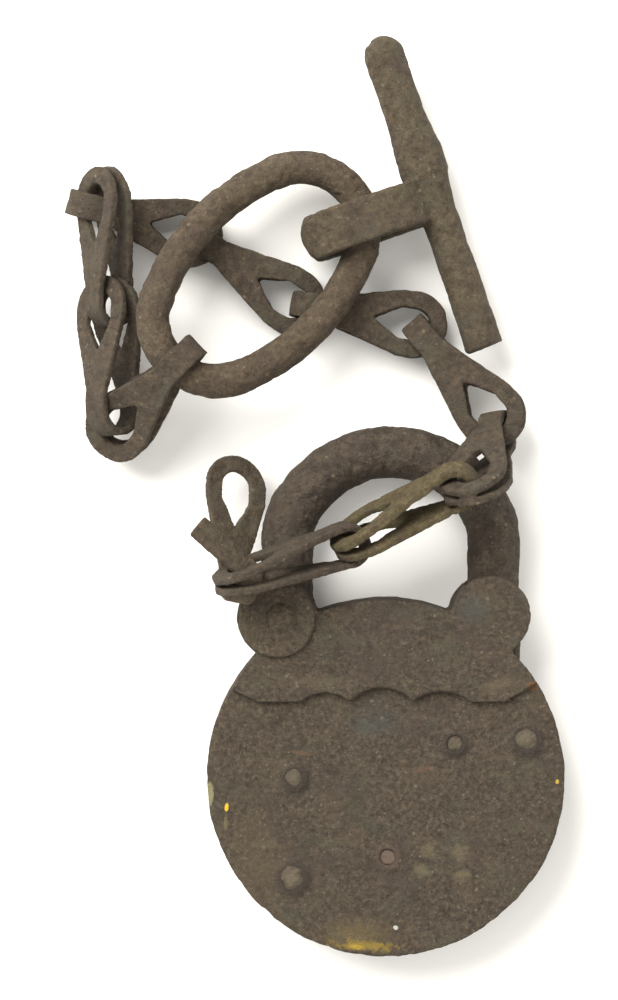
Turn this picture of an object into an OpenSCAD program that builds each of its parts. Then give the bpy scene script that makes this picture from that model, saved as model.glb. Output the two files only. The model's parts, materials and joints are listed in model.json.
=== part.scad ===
// Old riveted lever padlock, shut, with a folded-link chain, an oval ring and a toggle bar.
// It lies flat on its keyhole side. Millimetres, +Z up, +Y from the case towards the shackle.
// The origin is the centre of the round case, on its underside.

/* [Case] */
// Radius of the round case
case_r = 38; // [34:0.5:44]
// Thickness of the lower and upper case plates
plate_t = 2; // [1.5:0.1:2.4]
// Thickness of the scalloped apron plate over the shackle end
apron_t = 1.6; // [1.2:0.1:2.2]
// Clear depth between the two case plates
case_depth = 12; // [12:0.5:16]
// Wall thickness of the band round the edge
rim_t = 2.4; // [1.6:0.1:3]
// Radius of the ear over the shackle's pivot
pivot_ear_r = 8.5; // [8:0.1:10]
// Radius of the ear over the shackle's free leg
toe_ear_r = 8.4; // [8:0.1:10]

/* [Shackle] */
// Radius of the shackle's round bar
shackle_r = 5.6; // [4.4:0.1:5.7]
// Distance between the centre lines of the two legs
leg_gap = 44.4; // [42:0.2:48]
// Height of the bow's centre line above the straight legs
bow_rise = 19.2; // [17:0.2:22]
// Radius of the bow's two shoulders
shoulder_r = 15; // [13:0.5:16]
// Gap left round the shackle where it enters the case
shackle_gap = 0.4; // [0.3:0.05:0.8]
// Radius of the shackle's pivot
pivot_r = 2.5; // [2:0.1:3]
// Radius of the washer under the pivot's head
washer_r = 8.2; // [7:0.1:8.4]
// Thickness of that washer
washer_t = 1.1; // [0.8:0.1:1.6]

/* [Lock] */
// Radius of the posts inside the case
post_r = 2.2; // [1.8:0.1:2.4]
// Radius of each post's end where it passes through a plate
tenon_r = 1.6; // [1.2:0.1:1.7]
// Radius of the pin that the hollow key slides over
key_pin_r = 1.6; // [1.2:0.1:2]
// Radius of the keyhole's round part
keyhole_r = 3.4; // [3:0.1:4]
// Thickness of the sliding bolt
bolt_t = 3; // [2.4:0.1:3.4]
// Thickness of one lever
lever_t = 1.8; // [1.4:0.1:2]
// Gap between neighbouring levers
lever_gap = 0.3; // [0.2:0.05:0.5]
// Number of levers
lever_count = 3; // [3:1:3]
// How far the key draws the bolt back
bolt_travel = 6; // [5:0.5:6]
// Running gap round sliding parts
slide_gap = 0.15; // [0.1:0.05:0.3]

/* [Ring and toggle] */
// Half the oval ring's length, at the middle of its wire
ring_half_l = 27; // [26:0.5:32]
// Half the oval ring's width, at the middle of its wire
ring_half_w = 16.2; // [15.8:0.2:18]
// Radius of the ring's two tight ends
ring_end_r = 13.4; // [12.5:0.1:14.5]
// Radius of the ring's wire
ring_wire_r = 3.6; // [3:0.1:4]
// Length of the toggle bar
toggle_l = 70.3; // [60:0.5:80]
// Radius of the toggle bar
toggle_r = 4.4; // [3.6:0.1:5]
// Radius of the bar past its eye
toggle_tail_r = 4; // [3.4:0.1:4.6]
// Radius that rounds the nose of the eye across its width
nose_r = 7; // [6.5:0.5:14]
// Distance from the bar's rounded end to the middle of its eye
eye_at = 36.5; // [30:0.5:40]
// Reach of the eye from the bar's centre line to its nose
eye_reach = 29.5; // [27:0.5:32]
// Half the clear height of the eye
eye_half_h = 4.4; // [4.1:0.1:5]
// Wall of the eye round its slot
eye_wall = 4.4; // [3:0.1:5]
// Width of the eye's band along the bar
eye_band_w = 9.4; // [8:0.2:11]

/* [Chain] */
// Length of a folded link
link_l = 34; // [32:0.5:36]
// Thickness of the sheet that the links are folded from
sheet_t = 1.6; // [1.2:0.1:1.8]
// Width of the sheet at the fold
waist_w = 5.6; // [5:0.1:6.2]
// Clear width of a link's eye
link_hole_w = 7; // [6.4:0.1:8]
// Width of the arms round the eye
arm_w = 3.7; // [3:0.1:4.5]
// Clear height inside the fold
fold_gap = 6.4; // [5.4:0.1:6.4]
// Gap inside the fold of the two links that cross a neighbour at a slant
wide_fold_gap = 8.6; // [8:0.1:9]
// Gap between the two halves at the eye's end
eye_gap = 0.6; // [0.4:0.1:1.2]
// Distance from the fold's tip to the point where the eye's slot begins
slot_start = 17.5; // [16:0.5:20]

/* [Hidden] */
$fn = 64;
eps = 0.01;

// Heights of the layers
inside_z = plate_t;
top_z = plate_t + case_depth;
face_z = top_z + plate_t;
apron_z = face_z + apron_t;
shackle_z = plate_t + case_depth / 2;

// Places on the case, as offsets from the centre of the round part
pivot_leg_x = -21;
toe_leg_x = pivot_leg_x + leg_gap;
leg_top_y = 50;
ear_y = 34;
pivot_at = [pivot_leg_x - 1.1, ear_y];
toe_ear_at = [toe_leg_x - 1.1, ear_y + 0.4];
toe_end_y = 13;
notch_y = 18;
notch_w = 5;
notch_depth = 3.4;

// Posts: place, head radius, head height
KEY_PIN = [[0.4, -16.8], 2.6, 0.3];
LEVER_POST = [[-19.5, 0.2], 2.7, 0.9];
SPRING_POST = [[-20, -21], 3.4, 1.3];
GUIDE_POST = [[14.6, 7.4], 2.2, 0.6];
STOP_POST = [[29.7, 8.3], 3.2, 1.4];
EAR_RIVET = toe_ear_at + [-2, 1.5];
ear_rivet_r = 1.6;

// Where two stretches of bar meet: how far each stops short, and the joint's swelling and width
joint_short = 0.1;
joint_swell = 0.15;
joint_w = 2;

// The bow is a three-centre arch: two shoulders and a flatter crown
half_gap = leg_gap / 2;
shoulder_x = half_gap - shoulder_r;
rise_over = bow_rise - shoulder_r;
crown_drop = (shoulder_x * shoulder_x - rise_over * rise_over) / (2 * rise_over);
crown_r = bow_rise + crown_drop;
crown_half_angle = atan2(shoulder_x, crown_drop);

// The ring is a four-arc oval
end_x = ring_half_l - ring_end_r;
side_over = ring_half_w - ring_end_r;
side_drop = (end_x * end_x - side_over * side_over) / (2 * side_over);
side_r = ring_half_w + side_drop;
side_half_angle = atan2(end_x, side_drop);
ring_at = [-26.8, 107.2, 14.2];
ring_turn = 47;
ring_tilt = 10;

// The toggle bar: its rounded end, and the way it points
toggle_from = [-1.5, 158.2, 10.1];
toggle_turn = -71;

// Where the bolt, its stump and the levers stand
lever_z = inside_z + bolt_t + lever_gap;
lever_pitch = lever_t + lever_gap;
levers_top = lever_z + lever_count * lever_pitch - lever_gap;

// Links from the ring to the tail: fold's tip, turn, climb and roll
POSES = [
  [[-40.1, 91.6, 22.1], 225, -28, 0],
  [[-57.9, 72.7, 10.7], 93, -2, -42],
  [[-58.7, 96.2, 9.4], 93, 4, -54],
  [[-68.4, 123.6, 6.5], -15, -3, 5],
  [[-42.3, 116.9, 4.9], -34, 0, 2],
  [[-20.3, 101.6, 4.8], -10, 0, 0],
  [[5.9, 97.6, 4.2], -50, 11, 7],
  [[25.4, 75.6, 4.8], 241, 57, 43],
  [[18.4, 63.9, 28.1], 207, -14, 68],
  [[-3.8, 50.9, 21], 197, 10, 78],
  [[-30.6, 37.7, 23.7], 91, -25, 31]];

// How far each half of a link runs back into its fold
fold_lap = 0.2;
// Fold gap of the first link, which holds the ring's wire
ring_fold_gap = 2 * ring_wire_r + 0.8;
// The tail link's broken half: its length and how far it is bent aside
stub_l = 15;
stub_turn = 55;

module case_outline(inset = 0) {
  circle(r = case_r - inset, $fn = 160);
  translate(pivot_at + [-1, 0]) circle(r = pivot_ear_r - inset);
  translate(toe_ear_at) circle(r = toe_ear_r - inset);
}

// The wall round the edge, as a flat outline
module rim_outline() {
  difference() {
    case_outline();
    case_outline(rim_t);
  }
}

// The side of the case where the two legs enter, which the band leaves open
module leg_mouth() {
  left_x = pivot_leg_x - shackle_r - shackle_gap;
  right_x = toe_leg_x - shackle_r - shackle_gap;
  translate([left_x, ear_y - 4]) square([2 * case_r, case_r]);
  translate([right_x, toe_end_y]) square([2 * (shackle_r + shackle_gap), case_r]);
  translate([right_x, ear_y - 9.5]) square([case_r, case_r]);
}

// The stretch of wall between the legs
module spacer_zone() {
  left_x = pivot_leg_x + shackle_r + shackle_gap;
  right_x = toe_leg_x - shackle_r - shackle_gap;
  translate([left_x, ear_y - 4]) square([right_x - left_x, case_r]);
}

// Round holes for the posts' ends
module tenon_holes() {
  for (p = [LEVER_POST, SPRING_POST, GUIDE_POST, STOP_POST])
    translate(p[0]) circle(r = tenon_r + 0.05);
}

module keyhole() {
  slot_w = 2.8;
  slot_l = 12;
  translate(KEY_PIN[0]) circle(r = keyhole_r);
  translate(KEY_PIN[0] + [-slot_w / 2, -slot_l]) square([slot_w, slot_l]);
}

module bottom_plate() {
  color([0.36, 0.32, 0.28]) linear_extrude(plate_t) difference() {
    case_outline();
    tenon_holes();
    keyhole();
    translate(pivot_at) circle(r = pivot_r + 0.05);
  }
}

module rim_band() {
  color([0.33, 0.29, 0.26]) translate([0, 0, inside_z]) linear_extrude(case_depth)
    difference() {
      rim_outline();
      leg_mouth();
    }
}

module top_spacer() {
  color([0.33, 0.29, 0.26]) translate([0, 0, inside_z]) linear_extrude(case_depth)
    intersection() {
      rim_outline();
      spacer_zone();
    }
}

module top_plate() {
  color([0.36, 0.32, 0.28]) translate([0, 0, top_z]) linear_extrude(plate_t) difference() {
    case_outline();
    tenon_holes();
    translate(KEY_PIN[0]) circle(r = tenon_r + 0.05);
    translate(pivot_at) circle(r = pivot_r + 0.05);
    translate(EAR_RIVET) circle(r = ear_rivet_r + 0.05);
  }
}

// The apron's lower edge: two flat lobes that rise at the case's sides, with three shallow
// arches between them
module apron_cutter() {
  edge_y = 16.2;
  translate([-2 * case_r, -2 * case_r]) square([4 * case_r, 2 * case_r + edge_y]);
  translate([-12.9, edge_y - 6.2]) circle(r = 8.1);
  translate([-0.9, edge_y - 6.1]) circle(r = 9.1);
  translate([11.7, edge_y - 6.7]) circle(r = 9);
  polygon([[-27.5, edge_y - 1], [-27.5, edge_y], [-34.5, edge_y + 3.4], [-42, edge_y + 3.4],
           [-42, edge_y - 1]]);
  polygon([[25.5, edge_y - 1], [25.5, edge_y], [33, edge_y + 4.7], [42, edge_y + 4.7],
           [42, edge_y - 1]]);
}
module apron_plate() {
  color([0.34, 0.30, 0.26]) translate([0, 0, face_z]) linear_extrude(apron_t) difference() {
    case_outline();
    apron_cutter();
    translate(pivot_at) circle(r = pivot_r + 0.05);
    translate(EAR_RIVET) circle(r = ear_rivet_r + 0.05);
  }
}

// A shouldered post riveted through both plates: flush below, domed above
module post(p, body_r = post_r, foot = true) {
  head_r = p[1];
  head_h = p[2];
  dome_r = (head_r * head_r + head_h * head_h) / (2 * head_h);
  translate([p[0][0], p[0][1], 0]) {
    translate([0, 0, inside_z]) cylinder(r = body_r, h = case_depth);
    if (foot) cylinder(r = tenon_r, h = inside_z + eps);
    translate([0, 0, top_z - eps]) cylinder(r = tenon_r, h = plate_t + 2 * eps);
    translate([0, 0, face_z]) intersection() {
      cylinder(r = head_r, h = head_h);
      translate([0, 0, head_h - dome_r]) sphere(r = dome_r);
    }
  }
}

module key_pin() {
  color([0.42, 0.30, 0.25]) post(KEY_PIN, key_pin_r, false);
}

module lever_post() {
  color([0.44, 0.38, 0.33]) post(LEVER_POST);
}

module spring_post() {
  color([0.40, 0.36, 0.31]) post(SPRING_POST);
}

module guide_post() {
  color([0.40, 0.35, 0.30]) post(GUIDE_POST);
}

module stop_post() {
  color([0.47, 0.41, 0.34]) post(STOP_POST);
}

// Flush rivet that ties the apron to the plate under it, above the free leg
module ear_rivet() {
  color([0.36, 0.32, 0.28]) translate([EAR_RIVET[0], EAR_RIVET[1], top_z])
    cylinder(r = ear_rivet_r, h = plate_t + apron_t + 0.2);
}

module pivot_washer() {
  color([0.35, 0.31, 0.27]) translate([pivot_at[0] - 1, pivot_at[1], apron_z])
    difference() {
      cylinder(r = washer_r, h = washer_t);
      translate([1, 0, -eps]) cylinder(r = pivot_r + 0.05, h = washer_t + 2 * eps);
    }
}

module pivot_rivet() {
  head_r = 3.4;
  head_h = 1.4;
  dome_r = (head_r * head_r + head_h * head_h) / (2 * head_h);
  seat_z = apron_z + washer_t;
  color([0.42, 0.39, 0.34]) translate([pivot_at[0], pivot_at[1], 0]) {
    cylinder(r = pivot_r, h = seat_z + eps);
    translate([0, 0, seat_z]) intersection() {
      cylinder(r = head_r, h = head_h);
      translate([0, 0, head_h - dome_r]) sphere(r = dome_r);
    }
  }
}

// An arc of round bar in the XY plane, centred on the origin, just short of its two ends
module bar_arc(radius, bar_r, from, to) {
  short = joint_short / radius * 180 / PI;
  rotate([0, 0, from + short]) rotate_extrude(angle = to - from - 2 * short, $fn = 96)
    translate([radius, 0]) circle(r = bar_r, $fn = 48);
}

// The forged swelling where two stretches of a bar run into each other
module bar_joint(x, y, bar_r, turn = 0) {
  translate([x, y, 0]) rotate([90, 0, turn])
    cylinder(r = bar_r + joint_swell, h = joint_w, center = true, $fn = 48);
}

// A straight bar along +Y from y0 to just short of y1
module leg(x, y0, y1) {
  translate([x, y0, 0]) rotate([-90, 0, 0])
    cylinder(r = shackle_r, h = y1 - y0 - joint_short, $fn = 48);
}

module shackle() {
  mid_x = pivot_leg_x + half_gap;
  color([0.38, 0.33, 0.28]) translate([0, 0, shackle_z]) difference() {
    union() {
      leg(pivot_leg_x, pivot_at[1], leg_top_y);
      leg(toe_leg_x, toe_end_y, leg_top_y);
      translate([mid_x - shoulder_x, leg_top_y, 0])
        bar_arc(shoulder_r, shackle_r, 90 + crown_half_angle, 180);
      translate([mid_x + shoulder_x, leg_top_y, 0])
        bar_arc(shoulder_r, shackle_r, 0, 90 - crown_half_angle);
      translate([mid_x, leg_top_y - crown_drop, 0])
        bar_arc(crown_r, shackle_r, 90 - crown_half_angle, 90 + crown_half_angle);
      for (s = [-1, 1]) {
        bar_joint(mid_x + s * half_gap, leg_top_y, shackle_r);
        bar_joint(mid_x + s * (shoulder_x + shoulder_r * sin(crown_half_angle)),
                  leg_top_y + shoulder_r * cos(crown_half_angle), shackle_r,
                  s * (90 - crown_half_angle));
      }
      translate([pivot_at[0], pivot_at[1], -shackle_r + 0.8])
        cylinder(r = shackle_r + 0.2, h = 2 * shackle_r - 1.6);
    }
    translate([pivot_at[0], pivot_at[1], -2 * shackle_r])
      cylinder(r = pivot_r + slide_gap, h = 4 * shackle_r);
    translate([toe_leg_x - shackle_r - eps, notch_y - notch_w / 2, -2 * shackle_r])
      cube([notch_depth, notch_w, 4 * shackle_r]);
  }
}

// A slot along X for a post: it leaves room for the bolt to draw back
module travel_slot(at) {
  r = post_r + slide_gap;
  translate(at) circle(r = r);
  translate(at + [bolt_travel, 0]) circle(r = r);
  translate(at - [0, r]) square([bolt_travel, 2 * r]);
}

module bolt() {
  head_x0 = 11;
  head_x1 = toe_leg_x - shackle_r + notch_depth - 0.3;
  head_w = notch_w - 0.6;
  lp = LEVER_POST[0];
  gp = GUIDE_POST[0];
  tail_y = 4.4;
  color([0.40, 0.38, 0.34]) {
    translate([0, 0, inside_z]) linear_extrude(bolt_t) difference() {
      union() {
        translate([lp[0] - 5, lp[1] - tail_y]) square([gp[0] - lp[0] + 5, 2 * tail_y]);
        translate([gp[0] - 12, gp[1] - tail_y]) square([12 + bolt_travel + 4.6, 2 * tail_y]);
        translate([-7, -9.5]) square([15, 10]);
        translate([head_x0, gp[1]]) square([5.8, notch_y + head_w / 2 - gp[1]]);
      }
      travel_slot(lp);
      travel_slot(gp);
      translate([KEY_PIN[0][0], -10]) circle(r = 3.2);
    }
    translate([head_x0, notch_y - head_w / 2, inside_z])
      cube([head_x1 - head_x0, head_w, case_depth - 3]);
    translate([-5.25, 2.65, inside_z]) cube([2.5, 1.6, levers_top - inside_z]);
  }
}

// A lever hangs on its post, with two pockets and a gate for the bolt's stump
module lever(i) {
  lp = LEVER_POST[0];
  color([0.42, 0.40, 0.35]) translate([0, 0, lever_z + i * lever_pitch])
    linear_extrude(lever_t) difference() {
      polygon([[lp[0] - 5, lp[1] + 2], [lp[0] - 2, lp[1] + 5], [lp[0] + 2, lp[1] + 5],
               [8, 7.6], [12, 4], [12, -2], [6, -6.2], [lp[0] + 1.4, lp[1] - 4.8],
               [lp[0] + 1.4, lp[1] - 10.5], [lp[0] - 3, lp[1] - 10.5],
               [lp[0] - 3, lp[1] - 4], [lp[0] - 5, lp[1] - 2]]);
      translate(lp) circle(r = post_r + slide_gap);
      translate([-6.2, -0.6]) square([5, 6]);
      translate([-8, -0.4 + 0.2 * i]) square([2, 2.2]);
      translate([-12.6, -0.6]) square([4.8, 5.6]);
    }
}

// Leaf spring: an eye round its post and a blade against the lever's tail
module lever_spring(i) {
  sp = SPRING_POST[0];
  tail_x = LEVER_POST[0][0] + 1.4;
  blade_t = 0.6;
  color([0.34, 0.32, 0.30]) translate([0, 0, lever_z + i * lever_pitch])
    linear_extrude(lever_t) {
      difference() {
        translate(sp) circle(r = post_r + 0.1 + blade_t);
        translate(sp) circle(r = post_r + 0.1);
      }
      translate([tail_x + 0.2, sp[1] + 1]) square([blade_t, -sp[1] - 8.5]);
    }
}

module ring() {
  color([0.44, 0.36, 0.30]) translate(ring_at) rotate([0, 0, ring_turn])
    rotate([0, ring_tilt, 0])
      for (s = [0, 180]) rotate([0, 0, s]) {
        translate([end_x, 0, 0])
          bar_arc(ring_end_r, ring_wire_r, side_half_angle - 90, 90 - side_half_angle);
        translate([0, -side_drop, 0])
          bar_arc(side_r, ring_wire_r, 90 - side_half_angle, 90 + side_half_angle);
        for (m = [-1, 1])
          bar_joint(m * (end_x + ring_end_r * sin(side_half_angle)),
                    ring_end_r * cos(side_half_angle), ring_wire_r,
                    m * (90 - side_half_angle));
      }
}

// The eye's outline in the plane across the bar: u away from the bar, v up
module eye_outline(grow) {
  nose_u = eye_reach - eye_wall - eye_half_h;
  root_u = toggle_r + 1.2 + eye_half_h;
  for (u = [root_u, nose_u]) translate([u, 0]) circle(r = eye_half_h + grow);
  translate([root_u, -eye_half_h - grow]) square([nose_u - root_u, 2 * (eye_half_h + grow)]);
}

// The bar is a little thinner past the eye; the eye's nose is rounded across its width
module toggle_bar() {
  nose_at = eye_reach - nose_r;
  body_l = eye_at - eye_band_w / 2 - 0.4;
  color([0.42, 0.36, 0.29]) translate(toggle_from) rotate([0, 0, toggle_turn]) {
    translate([toggle_r, 0, 0]) rotate([0, 90, 0])
      cylinder(r = toggle_r, h = body_l - toggle_r, $fn = 48);
    translate([body_l - 1, 0, 0]) rotate([0, 90, 0])
      cylinder(r = toggle_tail_r, h = toggle_l - body_l + 1, $fn = 48);
    translate([toggle_r, 0, 0]) sphere(r = toggle_r, $fn = 48);
    difference() {
      translate([eye_at + eye_band_w / 2, 0, 0]) rotate([0, -90, 0]) rotate([0, 0, -90])
        linear_extrude(eye_band_w) difference() {
          union() {
            eye_outline(eye_wall);
            translate([0, -toggle_r + 0.3]) square([8, 2 * toggle_r - 0.6]);
          }
          eye_outline(0);
        }
      difference() {
        translate([eye_at - 20, -nose_at - 20, -20]) cube([40, 20, 40]);
        translate([eye_at, -nose_at, -21]) cylinder(r = nose_r, h = 42, $fn = 72);
      }
    }
  }
}

// Flat half of a link: a waist that widens into a pointed eye
module link_half(length, hole_w, side_w) {
  eye_r = hole_w / 2 + side_w;
  eye_x = length - eye_r;
  hole_r = hole_w / 2;
  flare_x = eye_x - 3;
  point_x = length - (link_l - slot_start);
  difference() {
    union() {
      translate([-fold_lap, -waist_w / 2]) square([eye_x + fold_lap, waist_w]);
      polygon([[3, waist_w / 2], [flare_x, eye_r - 0.15], [eye_x, eye_r],
               [eye_x, -eye_r], [flare_x, -eye_r + 0.15], [3, -waist_w / 2]]);
      translate([eye_x, 0]) circle(r = eye_r);
    }
    translate([eye_x, 0]) circle(r = hole_r);
    polygon([[point_x, 0], [flare_x, hole_r], [eye_x, hole_r],
             [eye_x, -hole_r], [flare_x, -hole_r]]);
  }
}

// A folded link along +X from its fold's tip: bend, then two halves that close towards the eye
module folded_link(gap, hole_w, side_w, length = link_l, upper_l = 0, upper_turn = 0) {
  bend_x = gap / 2 + sheet_t;
  lean = asin((gap - eye_gap) / 2 / (length - bend_x));
  translate([bend_x, 0, 0]) {
    rotate([90, 0, 0]) rotate([0, 0, 90 - lean])
      rotate_extrude(angle = 180 + 2 * lean)
        translate([gap / 2, -waist_w / 2]) square([sheet_t, waist_w]);
    for (s = [0, 1]) mirror([0, 0, s]) rotate([0, lean, 0]) translate([0, 0, gap / 2])
      if (s == 0 && upper_l > 0) {
        rotate([0, 0, upper_turn]) linear_extrude(sheet_t)
          translate([-fold_lap, -waist_w / 2]) square([upper_l, waist_w]);
        linear_extrude(sheet_t) circle(r = waist_w / 2);
      } else {
        linear_extrude(sheet_t) link_half(length - bend_x, hole_w, side_w);
      }
  }
}

module placed(i) {
  p = POSES[i - 1];
  translate(p[0]) rotate([0, 0, p[1]]) rotate([0, -p[2], 0]) rotate([p[3], 0, 0]) children();
}

module chain_link(i) {
  color([0.38, 0.33, 0.27]) placed(i)
    folded_link(i == 2 || i == 4 ? wide_fold_gap : fold_gap, link_hole_w, arm_w);
}

module ring_link() {
  color([0.38, 0.33, 0.27]) placed(1) folded_link(ring_fold_gap, link_hole_w, arm_w);
}

module tail_link() {
  color([0.50, 0.43, 0.32]) placed(11)
    folded_link(fold_gap, link_hole_w, arm_w, link_l, stub_l, stub_turn);
}

bottom_plate();
rim_band();
top_spacer();
top_plate();
apron_plate();
pivot_rivet();
pivot_washer();
key_pin();
lever_post();
spring_post();
guide_post();
stop_post();
ear_rivet();
shackle();
bolt();
lever(0);  // lever_1
lever(1);  // lever_2
lever(2);  // lever_3
lever_spring(0);  // lever_spring_1
lever_spring(1);  // lever_spring_2
lever_spring(2);  // lever_spring_3
ring();
toggle_bar();
ring_link();  // link_01
chain_link(2);  // link_02
chain_link(3);  // link_03
chain_link(4);  // link_04
chain_link(5);  // link_05
chain_link(6);  // link_06
chain_link(7);  // link_07
chain_link(8);  // link_08
chain_link(9);  // link_09
chain_link(10);  // link_10
tail_link();  // link_11
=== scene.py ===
import json
import math
import bpy
import numpy as np
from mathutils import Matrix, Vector


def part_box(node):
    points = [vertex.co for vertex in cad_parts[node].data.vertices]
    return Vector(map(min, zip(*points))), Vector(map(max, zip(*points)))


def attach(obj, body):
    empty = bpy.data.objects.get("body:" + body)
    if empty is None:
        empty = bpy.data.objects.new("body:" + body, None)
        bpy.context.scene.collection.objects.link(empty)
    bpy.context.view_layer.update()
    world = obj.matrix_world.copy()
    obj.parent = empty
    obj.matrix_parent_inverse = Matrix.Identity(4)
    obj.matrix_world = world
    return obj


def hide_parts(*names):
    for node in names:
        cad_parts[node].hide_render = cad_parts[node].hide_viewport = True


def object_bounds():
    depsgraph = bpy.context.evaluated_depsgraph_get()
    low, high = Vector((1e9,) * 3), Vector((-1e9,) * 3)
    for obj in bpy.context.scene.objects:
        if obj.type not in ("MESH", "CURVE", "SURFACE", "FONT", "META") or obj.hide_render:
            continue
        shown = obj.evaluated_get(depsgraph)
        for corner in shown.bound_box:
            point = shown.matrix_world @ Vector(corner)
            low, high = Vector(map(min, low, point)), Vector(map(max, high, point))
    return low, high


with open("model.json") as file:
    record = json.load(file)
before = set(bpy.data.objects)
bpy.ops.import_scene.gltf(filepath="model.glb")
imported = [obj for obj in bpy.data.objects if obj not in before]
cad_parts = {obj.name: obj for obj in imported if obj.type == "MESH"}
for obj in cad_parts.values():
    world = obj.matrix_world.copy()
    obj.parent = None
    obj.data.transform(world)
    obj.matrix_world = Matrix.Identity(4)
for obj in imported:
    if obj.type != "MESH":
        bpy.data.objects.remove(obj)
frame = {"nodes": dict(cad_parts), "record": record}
cadLow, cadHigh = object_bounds()
nodes = frame["nodes"]
mm = 0.001
print("frame loaded:", len(nodes), "nodes")

noiseValues = 8192                                       # random values, a power of two
noiseShift = 500.0                                       # keeps the cells' numbers above zero
noiseMixers = np.array([73856093, 19349663, 83492791])   # large odd numbers that scatter the cells
joinStep = 0.002 * mm                                    # corners closer than this are one

# How rust is grained: the size in millimetres of each kind of lump, the noise above which
# there is a pit, and how much more noise makes a full pit
rustGrain = {"swell": 9, "scale": 2.6, "grain": 0.9, "pit": 1.7, "pitFrom": 0.66, "pitSpan": 0.34}


# Smooth noise from 0 to 1: random values at the corners of cells of the given size,
# blended between corners with the curve 3t^2 - 2t^3
def cellNoise(points, size, seed):
    table = np.random.RandomState(seed).rand(noiseValues)
    place = points / size + noiseShift
    low = np.floor(place).astype(np.int64)
    t = place - low
    t = t * t * (3.0 - 2.0 * t)
    total = np.zeros(len(points))
    for corner in range(8):
        step = np.array([corner & 1, (corner >> 1) & 1, (corner >> 2) & 1])
        mixed = (low + step) * noiseMixers
        key = mixed[:, 0] ^ mixed[:, 1] ^ mixed[:, 2]
        weight = np.prod(np.where(step == 1, t, 1.0 - t), axis=1)
        total += weight * table[key & (noiseValues - 1)]
    return total


# Height of rusted iron: a slow swell, lumpy scale and grain, less the pits, which are
# the places where a further noise passes its threshold
def rustHeight(points, relief, seed):
    swell = cellNoise(points, rustGrain["swell"] * mm, seed) - 0.5
    scale = cellNoise(points, rustGrain["scale"] * mm, seed + 1) - 0.5
    grain = cellNoise(points, rustGrain["grain"] * mm, seed + 2) - 0.5
    deep = cellNoise(points, rustGrain["pit"] * mm, seed + 3) - rustGrain["pitFrom"]
    pits = np.clip(deep, 0, 1) / rustGrain["pitSpan"]
    return (relief["swell"] * swell + relief["scale"] * scale + relief["grain"] * grain
            - relief["pit"] * pits) * mm


# The mesh's points, or their normals, as rows of x, y, z
def readPoints(mesh, normals=False):
    out = np.zeros(len(mesh.vertices) * 3, np.float32)
    mesh.vertices.foreach_get("normal" if normals else "co", out)
    return out.reshape(-1, 3).astype(float)


# The loose triangles of CAD nodes, joined where their corners round to the same multiple of
# joinStep, without the triangles that this closes up
def mergedCopy(name, sources):
    allPoints = []
    allTris = []
    base = 0
    for source in sources:
        loose = nodes[source].data.copy()
        points = readPoints(loose)
        loose.calc_loop_triangles()
        tri = np.zeros(len(loose.loop_triangles) * 3, np.int32)
        loose.loop_triangles.foreach_get("vertices", tri)
        bpy.data.meshes.remove(loose)
        allPoints.append(points)
        allTris.append(tri + base)
        base += len(points)
    points = np.vstack(allPoints)
    keys = np.round(points / joinStep).astype(np.int64)
    first, back = np.unique(keys, axis=0, return_index=True, return_inverse=True)[1:]
    tri = back.reshape(-1)[np.concatenate(allTris)].reshape(-1, 3)
    keep = (tri[:, 0] != tri[:, 1]) & (tri[:, 1] != tri[:, 2]) & (tri[:, 0] != tri[:, 2])
    mesh = bpy.data.meshes.new(name)
    mesh.from_pydata(points[first].tolist(), [], tri[keep].tolist())
    return mesh


# Copies CAD nodes as one piece, fills it with even small faces, rounds its edges, moves every
# point along its normal by the height of the rust, shapes it, and keeps it above the floor.
# A relief's cell is the size of the faces, its wear is the number of smoothings, and the rest
# are heights of rust; all but wear are in millimetres
def wornCopy(sources, relief, seed, shape=None):
    rough = mergedCopy("rough", sources)
    obj = bpy.data.objects.new("worn_" + sources[0], rough)
    bpy.context.scene.collection.objects.link(obj)
    remesh = obj.modifiers.new("cells", "REMESH")
    remesh.mode = "VOXEL"
    remesh.voxel_size = relief["cell"] * mm
    smooth = obj.modifiers.new("wear", "SMOOTH")
    smooth.factor = 0.5
    smooth.iterations = relief["wear"]
    finished = obj.evaluated_get(bpy.context.evaluated_depsgraph_get())
    fine = bpy.data.meshes.new_from_object(finished)
    fine.name = "worn_" + sources[0]
    obj.modifiers.clear()
    obj.data = fine
    bpy.data.meshes.remove(rough)
    points = readPoints(fine)
    points += readPoints(fine, True) * rustHeight(points, relief, seed)[:, None]
    if shape:
        points = shape(points)
    points[:, 2] = np.maximum(points[:, 2], 0)
    fine.vertices.foreach_set("co", points.astype(np.float32).ravel())
    fine.polygons.foreach_set("use_smooth", np.ones(len(fine.polygons), bool))
    fine.update()
    return obj


# A setting is a property of the shader node where it has one of that name, and else an input
def addNode(tree, kind, **settings):
    node = tree.nodes.new(kind)
    for key, value in settings.items():
        if hasattr(node, key):
            setattr(node, key, value)
        else:
            node.inputs[key.replace("_", " ")].default_value = value
    return node


# Patches of rust, in the order in which they are laid: the colour and amount that they take
# from a look, the noise's size in millimetres, and the noise values between which they fade in
rustPatches = (
    {"colour": "cool", "amount": "coolness", "size": 8.5,
     "detail": 6, "rough": 0.66, "twist": 0.4, "fade": (0.50, 0.64)},
    {"colour": "purple", "amount": "purpleness", "size": 11.0,
     "detail": 6, "rough": 0.68, "twist": 0.5, "fade": (0.49, 0.62)},
    {"colour": "warm", "amount": "warmth", "size": 6.3,
     "detail": 7, "rough": 0.72, "twist": 0.4, "fade": (0.50, 0.64)},
    {"colour": "dark", "amount": "shade", "size": 4.2,
     "detail": 7, "rough": 0.72, "twist": 0.3, "fade": (0.52, 0.66)},
    {"colour": "bloom", "amount": "blooming", "size": 2.3,
     "detail": 7, "rough": 0.74, "twist": 0.2, "fade": (0.56, 0.70)},
)
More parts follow.
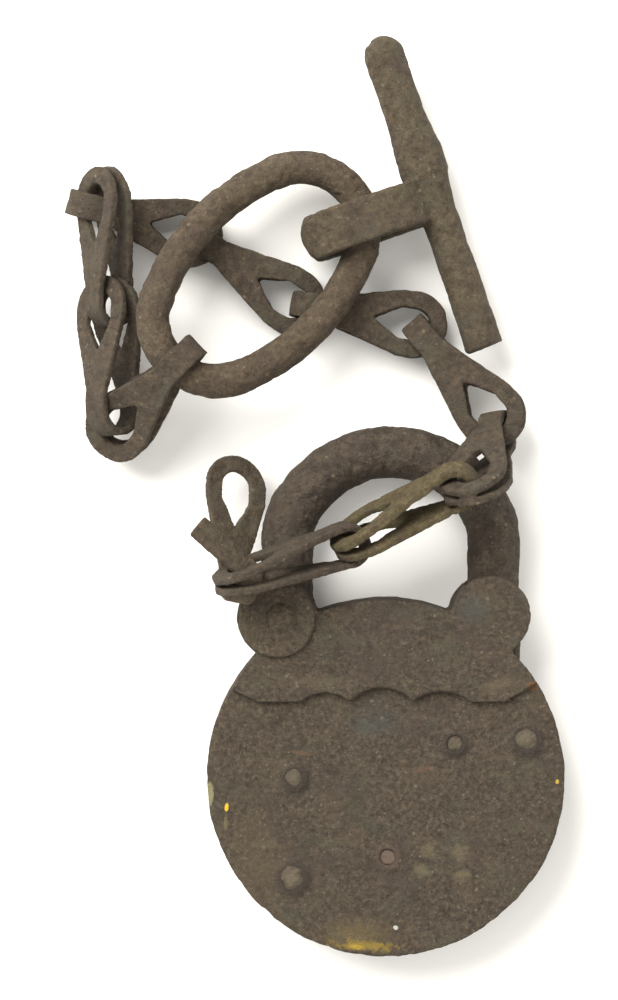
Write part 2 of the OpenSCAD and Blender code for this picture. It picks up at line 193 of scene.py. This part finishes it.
# Specks sit one to a cell, where a wider noise of size area is above its start; a speck's
# radius is a share of its cell
rustSpecks = (
    {"colour": "chip", "amount": "chipping", "cell": 3.1, "radius": 0.17, "area": 6.0, "start": 0.50},
    {"colour": "grit", "amount": "gritty", "cell": 1.1, "radius": 0.24, "area": 1.9, "start": 0.53},
)
speckWobble = 0.5                                        # bends the specks' outlines, mm
rustPits = {"size": 0.50, "detail": 4, "rough": 0.65, "fade": (0.30, 0.46)}
rustBumps = (
    {"depth": "coarse", "strength": 0.9, "size": 1.7, "detail": 7, "rough": 0.66},
    {"depth": "fine", "strength": 1.0, "size": 0.45, "detail": 4, "rough": 0.65},
)


# Rust is layered: a mottled ground of three browns, then olive-grey, purple-brown, warm, dark
# and orange patches, pale chips and grit, dark pits, and last the look's own marks. Each
# layer is mixed in by its amount times a mask of noise
def rustMaterial(name, look):
    mat = bpy.data.materials.new(name)
    mat.use_nodes = True
    tree = mat.node_tree
    link = tree.links.new
    shader = tree.nodes["Principled BSDF"]
    shift = addNode(tree, "ShaderNodeMapping", Location=(look["seed"] * 0.137, look["seed"] * 0.071, 0))
    link(addNode(tree, "ShaderNodeTexCoord").outputs["Object"], shift.inputs["Vector"])
    where = shift.outputs["Vector"]

    def noise(size, detail=4, rough=0.6, twist=0.0):
        node = addNode(tree, "ShaderNodeTexNoise", Scale=1 / (size * mm), Detail=detail,
                       Roughness=rough, Distortion=twist)
        link(where, node.inputs["Vector"])
        return node.outputs["Fac"]

    def ramp(value, low, high, flip=False):
        node = addNode(tree, "ShaderNodeMapRange", interpolation_type="SMOOTHSTEP",
                       From_Min=low, From_Max=high)
        node.inputs["To Min"].default_value = 1.0 if flip else 0.0
        node.inputs["To Max"].default_value = 0.0 if flip else 1.0
        link(value, node.inputs["Value"])
        return node.outputs["Result"]

    def times(a, b):
        node = addNode(tree, "ShaderNodeMath", operation="MULTIPLY")
        link(a, node.inputs[0])
        if isinstance(b, (int, float)):
            node.inputs[1].default_value = b
        else:
            link(b, node.inputs[1])
        return node.outputs[0]

    def layer(below, tint, mask):
        node = addNode(tree, "ShaderNodeMix", data_type="RGBA")
        link(mask, node.inputs["Factor"])
        link(below, node.inputs[6])
        node.inputs[7].default_value = (*tint, 1)
        return node.outputs[2]

    # round specks in cells whose coordinates a fine noise bends, kept only where the area's
    # noise is above start
    def specks(kind):
        cells = addNode(tree, "ShaderNodeTexVoronoi", Scale=1 / (kind["cell"] * mm))
        wobble = addNode(tree, "ShaderNodeTexNoise", Scale=1 / (speckWobble * mm), Detail=2)
        link(where, wobble.inputs["Vector"])
        spread = addNode(tree, "ShaderNodeVectorMath", operation="SCALE", Scale=speckWobble * mm)
        link(wobble.outputs["Color"], spread.inputs[0])
        bent = addNode(tree, "ShaderNodeVectorMath", operation="ADD")
        link(where, bent.inputs[0])
        link(spread.outputs[0], bent.inputs[1])
        link(bent.outputs[0], cells.inputs["Vector"])
        near = ramp(cells.outputs["Distance"], kind["radius"] * 0.4, kind["radius"], flip=True)
        return times(near, ramp(noise(kind["area"], 2, 0.5), kind["start"], kind["start"] + 0.07))

    ground = addNode(tree, "ShaderNodeValToRGB")
    stops = ground.color_ramp
    stops.elements[0].position = 0.33
    stops.elements[0].color = (*look["dark"], 1)
    stops.elements[1].position = 0.68
    stops.elements[1].color = (*look["light"], 1)
    stops.elements.new(0.5).color = (*look["mid"], 1)
    link(noise(look["blotch"], 9, 0.78, 0.2), ground.inputs["Fac"])
    colour = ground.outputs["Color"]
    for patch in rustPatches:
        value = noise(patch["size"], patch["detail"], patch["rough"], patch["twist"])
        mask = times(ramp(value, *patch["fade"]), look[patch["amount"]])
        colour = layer(colour, look[patch["colour"]], mask)
    for kind in rustSpecks:
        colour = layer(colour, look[kind["colour"]], times(specks(kind), look[kind["amount"]]))
    value = noise(rustPits["size"], rustPits["detail"], rustPits["rough"])
    mask = times(ramp(value, *rustPits["fade"], flip=True), look["pitting"])
    colour = layer(colour, look["pit"], mask)
    for mark in look["marks"]:
        colour = layer(colour, mark["colour"], markMask(tree, mark, noise))
    link(colour, shader.inputs["Base Color"])

    rough = addNode(tree, "ShaderNodeMapRange", To_Min=look["roughLow"], To_Max=look["roughHigh"])
    link(noise(1.6, 4, 0.6), rough.inputs["Value"])
    link(rough.outputs["Result"], shader.inputs["Roughness"])
    shader.inputs["Metallic"].default_value = 0.0
    shader.inputs["Specular IOR Level"].default_value = look["shine"]
    surface = shader.inputs["Normal"]
    for bump in reversed(rustBumps):
        node = addNode(tree, "ShaderNodeBump", Strength=bump["strength"],
                       Distance=look[bump["depth"]] * mm)
        link(noise(bump["size"], bump["detail"], bump["rough"]), node.inputs["Height"])
        link(node.outputs["Normal"], surface)
        surface = node.inputs["Normal"]
    return mat


# What a mark has unless it says otherwise: its height on the object, its turn in degrees, the
# size of the noise that tears its edge and how far it does, where it starts to fade, as a
# share of its size, and how strong it is
markDefaults = {"z": 16, "turn": 0, "lump": 0.8, "tear": 1.4, "inner": 0.7, "strength": 0.85}
markDepth = 5                                            # a mark's half size along z, mm


# An elliptical mark: its middle and its half sizes, in millimetres, and its colour
def markAt(at, size, colour, **more):
    return {**markDefaults, "at": at, "size": size, "colour": colour, **more}


# The mask of a mark: its strength at the middle, falling to 0 where the distance from the
# middle, as a share of its size, plus tear * (0.5 - noise) passes 1
def markMask(tree, mark, noise):
    link = tree.links.new
    flat = addNode(tree, "ShaderNodeMapping", vector_type="TEXTURE",
                   Location=(mark["at"][0] * mm, mark["at"][1] * mm, mark["z"] * mm),
                   Rotation=(0, 0, math.radians(mark["turn"])),
                   Scale=(mark["size"][0] * mm, mark["size"][1] * mm, markDepth * mm))
    link(addNode(tree, "ShaderNodeTexCoord").outputs["Object"], flat.inputs["Vector"])
    far = addNode(tree, "ShaderNodeVectorMath", operation="LENGTH")
    link(flat.outputs["Vector"], far.inputs[0])
    ragged = addNode(tree, "ShaderNodeMath", operation="MULTIPLY_ADD")
    link(noise(mark["lump"], 5, 0.7), ragged.inputs[0])
    ragged.inputs[1].default_value = -mark["tear"]
    ragged.inputs[2].default_value = mark["tear"] * 0.5
    total = addNode(tree, "ShaderNodeMath", operation="ADD")
    link(far.outputs["Value"], total.inputs[0])
    link(ragged.outputs[0], total.inputs[1])
    edge = addNode(tree, "ShaderNodeMapRange", interpolation_type="SMOOTHSTEP",
                   From_Min=mark["inner"], From_Max=1.0, To_Min=mark["strength"], To_Max=0.0)
    link(total.outputs[0], edge.inputs["Value"])
    return edge.outputs["Result"]


# Gives a piece its material, and lets it stand for the CAD nodes that it replaces; the slot argument is
# not used
def dress(obj, mat, slot, *replaced):
    obj.data.materials.clear()
    obj.data.materials.append(mat)
    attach(obj, "root")
    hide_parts(*replaced)


print("tools ready")


# The middle and radius of a round head, in millimetres, from its CAD node's box
def headPlace(name):
    low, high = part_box(name)
    middle = (low + high) / 2 / mm
    radius = (high.x - low.x) / 2 / mm
    return {"at": (round(middle.x, 1), round(middle.y, 1)), "radius": round(radius, 1)}


faceZ = round(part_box("top_plate")[1].z / mm, 1)
apronZ = round(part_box("apron_plate")[1].z / mm, 1)

# Rivet heads on the face: how strong the painted highlight on each head is, from 0 to 1, and how far
# its dome is raised, mm
rivetHeads = {
    "lever_post": {"light": 0.55},
    "stop_post": {"light": 0.75, "raise": 0.05},
    "spring_post": {"light": 0.60},
    "guide_post": {"light": 0.45},
    "key_pin": {},
}
for name, head in rivetHeads.items():
    head.update(headPlace(name))
keyPin = rivetHeads["key_pin"]

# Every look after this one is a copy of it with some values changed. Colours are linear, the
# amounts of the patches and specks go from 0 to 1, and blotch, coarse and fine are millimetres
caseLook = {
    "seed": 0, "blotch": 1.05, "roughLow": 0.74, "roughHigh": 0.95, "shine": 0.30,
    "coarse": 0.60, "fine": 0.38,
    "dark": (0.022, 0.016, 0.010), "mid": (0.057, 0.042, 0.027), "light": (0.120, 0.094, 0.060),
    "cool": (0.067, 0.063, 0.040), "coolness": 0.50,
    "purple": (0.052, 0.036, 0.027), "purpleness": 0.45, "shade": 0.50,
    "warm": (0.078, 0.058, 0.034), "warmth": 0.42,
    "bloom": (0.125, 0.075, 0.038), "blooming": 0.28,
    "chip": (0.198, 0.164, 0.113), "chipping": 0.50,
    "grit": (0.182, 0.150, 0.101), "gritty": 0.60,
    "pit": (0.018, 0.013, 0.009), "pitting": 0.75,
    "marks": [
        # flecks of old yellow paint at the edge, and the stains beside them
        markAt((-33.8, -6.2), (0.48, 0.95), (0.72, 0.44, 0.02), turn=-8, lump=0.5, tear=0.9),
        markAt((-34.0, -9.6), (0.50, 1.9), (0.150, 0.118, 0.050), strength=0.55, lump=0.5),
        markAt((-37.3, -3.4), (0.9, 2.7), (0.228, 0.200, 0.104), strength=0.8, lump=0.6),
        markAt((36.4, -0.8), (0.42, 0.60), (0.50, 0.32, 0.04), lump=0.5, tear=1.0),
        # the yellowed stretch at the foot of the face
        markAt((-6.0, -33.2), (12.0, 4.6), (0.120, 0.086, 0.036), strength=0.60, inner=0.0, lump=1.6),
        markAt((-4.6, -35.4), (8.0, 1.5), (0.235, 0.155, 0.028), turn=-2, strength=0.75,
               inner=0.25, lump=1.9, tear=3.4),
        markAt((-6.5, -35.9), (3.2, 0.8), (0.340, 0.225, 0.028), turn=-2, inner=0.2,
               lump=1.3, tear=1.6),
        markAt((-27.0, -18.0), (9.0, 14.0), (0.088, 0.066, 0.036), turn=35, strength=0.50,
               inner=0.0, lump=3.0, tear=2.2),
        # four pale patches to the right of the key pin, and a purple-brown one on the pin
        *[markAt(at, size, (0.115, 0.091, 0.050), strength=0.75, inner=0.15, lump=1.3, tear=2.2)
          for at, size in (((9.3, -15.1), (3.0, 2.3)), ((7.6, -19.5), (2.6, 2.3)),
                           ((15.5, -15.9), (2.8, 2.5)), ((16.3, -20.8), (2.2, 2.1)))],
        markAt(keyPin["at"], (3.4, 3.4), (0.082, 0.052, 0.037), strength=0.75, inner=0.45),
        # grey-green patches below the apron and on its right lobe, and a white chip
        markAt((-2.5, 11.5), (8.5, 4.5), (0.050, 0.053, 0.046), strength=0.55, inner=0.0, lump=2.0),
        markAt((18.5, 36.0), (5.5, 5.0), (0.056, 0.060, 0.050), strength=0.55, inner=0.0,
               lump=1.6, z=apronZ),
        markAt((2.1, -31.8), (0.6, 0.5), (0.50, 0.48, 0.42), tear=0.8, lump=0.5),
        # orange streaks, and the worn lower edge of the apron
        markAt((-18.2, 5.3), (2.4, 0.5), (0.103, 0.059, 0.037), turn=-8, strength=0.7),
        markAt((8.4, 1.8), (2.6, 0.6), (0.106, 0.061, 0.037), turn=12, strength=0.7),
        markAt((31.2, 19.5), (1.7, 1.3), (0.129, 0.061, 0.027), strength=0.75, z=apronZ),
        markAt((24.5, 20.0), (8.0, 2.4), (0.114, 0.084, 0.049), turn=14, strength=0.5,
               inner=0.0, z=apronZ),
        markAt((-14.0, 20.6), (9.0, 2.0), (0.114, 0.087, 0.051), strength=0.45, inner=0.0, z=apronZ),
    ],
}
# painted shadow: a soft dark ring on the plate round each rivet, widest to the right and below, where
# the head's shadow falls
for name, head in rivetHeads.items():
    if name != "key_pin":
        x, y = head["at"]
        caseLook["marks"].append(markAt((x + 0.35, y - 0.45), (head["radius"] + 1.5,) * 2,
                                        (0.030, 0.023, 0.018), tear=0.5, strength=0.75, inner=0.45))

# The plates' relief, and the skirt by which the face swells against each rivet: its height, how
# wide it falls away, how far it starts inside the head's edge, and how deep the face is, mm
case = {
    "groups": (["bottom_plate"], ["rim_band"], ["top_spacer"], ["top_plate"],
               ["apron_plate", "ear_rivet"]),
    "relief": {"cell": 0.44, "wear": 4, "swell": 0.30, "scale": 0.22, "grain": 0.12, "pit": 0.22},
    "seed": 20, "skirt": 0.75, "skirtWidth": 0.95, "skirtStart": 0.2, "faceDepth": 0.8,
}


# The skirt falls as exp(-((distance - radius + start) / width)^2)
def plateShape(points):
    onTop = points[:, 2] > (faceZ - case["faceDepth"]) * mm
    for head in rivetHeads.values():
        d = np.hypot(points[:, 0] - head["at"][0] * mm, points[:, 1] - head["at"][1] * mm) / mm
        past = np.maximum(d - head["radius"] + case["skirtStart"], 0)
        skirt = case["skirt"] * np.exp(-(past / case["skirtWidth"]) ** 2)
        points[:, 2] += np.where(onTop, skirt, 0) * mm
    return points


caseMat = rustMaterial("case rust", caseLook)
for k, group in enumerate(case["groups"]):
    shape = plateShape if group[0] == "top_plate" else None
    piece = wornCopy(group, case["relief"], case["seed"] + k, shape)
    dress(piece, caseMat, "case_rust", *group)
print("case built")

rivets = {
    "names": ("pivot_washer", "pivot_rivet", "key_pin", "lever_post", "spring_post",
              "guide_post", "stop_post"),
    "relief": {"cell": 0.28, "wear": 7, "swell": 0.10, "scale": 0.40, "grain": 0.22, "pit": 0.35},
    "seed": 40, "domeDepth": 0.2,
    "look": dict(caseLook, seed=3, blotch=1.1, mid=(0.072, 0.054, 0.034),
                 light=(0.125, 0.097, 0.061), marks=[]),
}
# a painted highlight on each rivet head, strongest at its middle and fading to its edge, where the dome
# catches the light
for head in rivetHeads.values():
    if "light" in head:
        rivets["look"]["marks"].append(markAt(head["at"], (head["radius"] * 1.05,) * 2,
                                              (0.128, 0.102, 0.066), z=faceZ + 1, inner=0.05,
                                              strength=head["light"], tear=1.3))
rivets["look"]["marks"].append(markAt(keyPin["at"], (3.2, 3.2), (0.135, 0.092, 0.068),
                                      inner=0.4, strength=0.7, tear=0.5))


# A head is raised into a fuller dome by raise * (1 - (distance / radius)^2), from domeDepth
# below the face upwards
def domeShape(head):
    def shape(points):
        far = np.hypot(points[:, 0] - head["at"][0] * mm, points[:, 1] - head["at"][1] * mm)
        share = far / (head["radius"] * mm)
        lift = head["raise"] * mm * np.clip(1 - share * share, 0, 1)
        points[:, 2] += np.where(points[:, 2] > (faceZ - rivets["domeDepth"]) * mm, lift, 0)
        return points
    return shape


rivetMat = rustMaterial("rivet rust", rivets["look"])
for k, name in enumerate(rivets["names"]):
    head = rivetHeads.get(name, {})
    shape = domeShape(head) if "raise" in head else None
    piece = wornCopy([name], rivets["relief"], rivets["seed"] + k, shape)
    dress(piece, rivetMat, "rivet_rust", name)
print("rivets built")

shackle = {
    "relief": {"cell": 0.40, "wear": 4, "swell": 0.34, "scale": 0.42, "grain": 0.18, "pit": 0.50},
    "seed": 60,
    "look": dict(caseLook, seed=5, blotch=2.0, dark=(0.025, 0.018, 0.012), mid=(0.055, 0.040, 0.027),
                 light=(0.111, 0.083, 0.055), cool=(0.066, 0.059, 0.041), marks=[], coarse=0.75),
}
piece = wornCopy(["shackle"], shackle["relief"], shackle["seed"])
dress(piece, rustMaterial("shackle rust", shackle["look"]), "shackle_rust", "shackle")

ring = {
    "relief": {"cell": 0.36, "wear": 4, "swell": 0.26, "scale": 0.32, "grain": 0.16, "pit": 0.42},
    "seed": 61,
    "look": dict(caseLook, seed=7, blotch=1.6, dark=(0.034, 0.022, 0.013), mid=(0.076, 0.054, 0.032),
                 light=(0.129, 0.097, 0.059), cool=(0.082, 0.068, 0.044), coolness=0.25,
                 bloom=(0.126, 0.067, 0.032), blooming=0.35, marks=[]),
}
piece = wornCopy(["ring"], ring["relief"], ring["seed"])
dress(piece, rustMaterial("ring rust", ring["look"]), "ring_rust", "ring")

# The bar thickens smoothly where the eye's band grows out of it: by how much, how far that is
# from the middle of the bar's free pin, over what length, and how far out it fades, mm
toggle = {
    "relief": {"cell": 0.38, "wear": 9, "swell": 0.40, "scale": 0.30, "grain": 0.14, "pit": 0.34},
    "seed": 62, "thicken": 0.9, "thickenAt": 11.1, "thickenLength": 7.0, "thickenFade": 3,
    "look": dict(caseLook, seed=9, blotch=1.8, dark=(0.033, 0.024, 0.014), mid=(0.071, 0.053, 0.031),
                 light=(0.119, 0.091, 0.054), bloom=(0.142, 0.088, 0.037), blooming=0.40,
                 coolness=0.55, marks=[]),
}
togglePin = next(mount for mount in frame["record"]["mounts"] if mount["name"] == "toggle_end")


# Points move out from the bar's axis by thicken * exp(-((along - at) / length)^2), which fades
# to nothing over the fade past the bar's radius
def toggleShape(points):
    along = -np.array(togglePin["axis"], float)
    offset = points - np.array(togglePin["pos_m"], float)
    t = offset @ along / mm
    axis = offset - np.outer(t * mm, along)
    far = np.linalg.norm(axis, axis=1) / mm
    fade = np.clip(1 - (far - togglePin["dims"]["r_mm"]) / toggle["thickenFade"], 0, 1)
    bell = np.exp(-((t - toggle["thickenAt"]) / toggle["thickenLength"]) ** 2)
    growth = toggle["thicken"] * bell * fade
    return points + axis / np.maximum(far, 0.1)[:, None] * growth[:, None]


piece = wornCopy(["toggle_bar"], toggle["relief"], toggle["seed"], toggleShape)
dress(piece, rustMaterial("toggle rust", toggle["look"]), "toggle_rust", "toggle_bar")
print("shackle, ring and toggle built")

# One link is olive and the tail link tan; the others share the chain's brown
chain = {
    "links": 11, "seed": 80, "seedStep": 3,
    "relief": {"cell": 0.34, "wear": 3, "swell": 0.16, "scale": 0.20, "grain": 0.12, "pit": 0.24},
}
chainLook = dict(caseLook, seed=11, blotch=1.6, dark=(0.025, 0.018, 0.011), mid=(0.058, 0.042, 0.027),
                 light=(0.105, 0.079, 0.050), marks=[])
oliveLook = dict(chainLook, seed=13, dark=(0.040, 0.029, 0.012), mid=(0.082, 0.061, 0.027),
                 light=(0.149, 0.118, 0.058), cool=(0.099, 0.087, 0.039))
tanLook = dict(chainLook, seed=15, mid=(0.070, 0.052, 0.031), light=(0.115, 0.088, 0.056), marks=[
    markAt((-40.0, 54.5), (7.0, 6.0), (0.150, 0.113, 0.064), z=20, strength=0.85, inner=0.2),
    markAt((-31.5, 38.0), (5.0, 3.6), (0.140, 0.104, 0.055), z=22, strength=0.75, inner=0.1),
])
chainMat = rustMaterial("chain rust", chainLook)
finishes = {"link_09": (rustMaterial("olive rust", oliveLook), "olive_rust"),
            "link_11": (rustMaterial("tan rust", tanLook), "tan_rust")}
for k in range(1, chain["links"] + 1):
    name = "link_%02d" % k
    mat, slotName = finishes.get(name, (chainMat, "chain_rust"))
    piece = wornCopy([name], chain["relief"], chain["seed"] + chain["seedStep"] * k)
    dress(piece, mat, slotName, name)
print("chain built")

# The works inside keep their CAD shape, and only take a finish
inside = {
    "iron": ("bolt", "lever_1", "lever_2", "lever_3"),
    "springs": ("lever_spring_1", "lever_spring_2", "lever_spring_3"),
}
ironLook = dict(caseLook, seed=17, dark=(0.040, 0.033, 0.025), mid=(0.088, 0.074, 0.056),
                light=(0.144, 0.122, 0.091), marks=[])
springLook = dict(ironLook, seed=19, mid=(0.076, 0.062, 0.050))
insideMats = {"iron": rustMaterial("inner iron", ironLook),
              "springs": rustMaterial("spring steel", springLook)}
for kind, names in inside.items():
    for name in names:
        nodes[name].data.materials.clear()
        nodes[name].data.materials.append(insideMats[kind])
print("inside dressed")

# The camera looks straight down, and the lamps aim at the floor below it. The lamps' places and
# sizes, the floor's half width and clipStart are in metres; the rest is in millimetres
studio = {
    "floorColour": (0.93, 0.905, 0.85), "floorHalf": 1.5, "floorDrop": 0.2, "world": 1.00,
    "aside": (-0.7, -1.2), "height": 605.7, "lens": 100, "sensor": 36, "clipStart": 0.01,
    "lamps": {
        "window": {"at": (-0.50, 0.62, 0.80), "size": 0.85, "power": 21.0},
        "bounce": {"at": (0.7, -0.3, 0.9), "size": 0.9, "power": 2.4},
    },
}
centre = [(round((low + high) / 2 / mm, 1) + aside) * mm
          for low, high, aside in zip(cadLow, cadHigh, studio["aside"])]

floorMat = bpy.data.materials.new("paper floor")
floorMat.use_nodes = True
paper = floorMat.node_tree.nodes["Principled BSDF"]
paper.inputs["Base Color"].default_value = (*studio["floorColour"], 1)
paper.inputs["Roughness"].default_value = 1.0
paper.inputs["Specular IOR Level"].default_value = 0.0
half = studio["floorHalf"]
drop = -studio["floorDrop"] * mm
floorMesh = bpy.data.meshes.new("floor")
corners = [(-half, -half, drop), (half, -half, drop), (half, half, drop), (-half, half, drop)]
floorMesh.from_pydata(corners, [], [(0, 1, 2, 3)])
floorMesh.materials.append(floorMat)
floor = bpy.data.objects.new("floor", floorMesh)
bpy.context.scene.collection.objects.link(floor)

for name, lamp in studio["lamps"].items():
    light = bpy.data.lights.new(name, "AREA")
    light.shape = "DISK"
    light.size = lamp["size"]
    light.energy = lamp["power"]
    holder = bpy.data.objects.new(name, light)
    bpy.context.scene.collection.objects.link(holder)
    holder.location = lamp["at"]
    holder.rotation_mode = "QUATERNION"
    aim = Vector((*centre, 0)) - Vector(lamp["at"])
    holder.rotation_quaternion = aim.to_track_quat("-Z", "Y")
world = bpy.data.worlds.new("studio")
bpy.context.scene.world = world
world.use_nodes = True
sky = world.node_tree.nodes["Background"]
sky.inputs["Color"].default_value = (1, 1, 1, 1)
sky.inputs["Strength"].default_value = studio["world"]

cameraData = bpy.data.cameras.new("camera")
cameraData.sensor_fit = "VERTICAL"
cameraData.sensor_height = studio["sensor"]
cameraData.lens = studio["lens"]
cameraData.clip_start = studio["clipStart"]
camera = bpy.data.objects.new("camera", cameraData)
bpy.context.scene.collection.objects.link(camera)
camera.location = (*centre, studio["height"] * mm)
camera.rotation_euler = (0, 0, 0)
bpy.context.scene.camera = camera
bpy.context.scene.view_settings.view_transform = "Standard"
print("stage set")
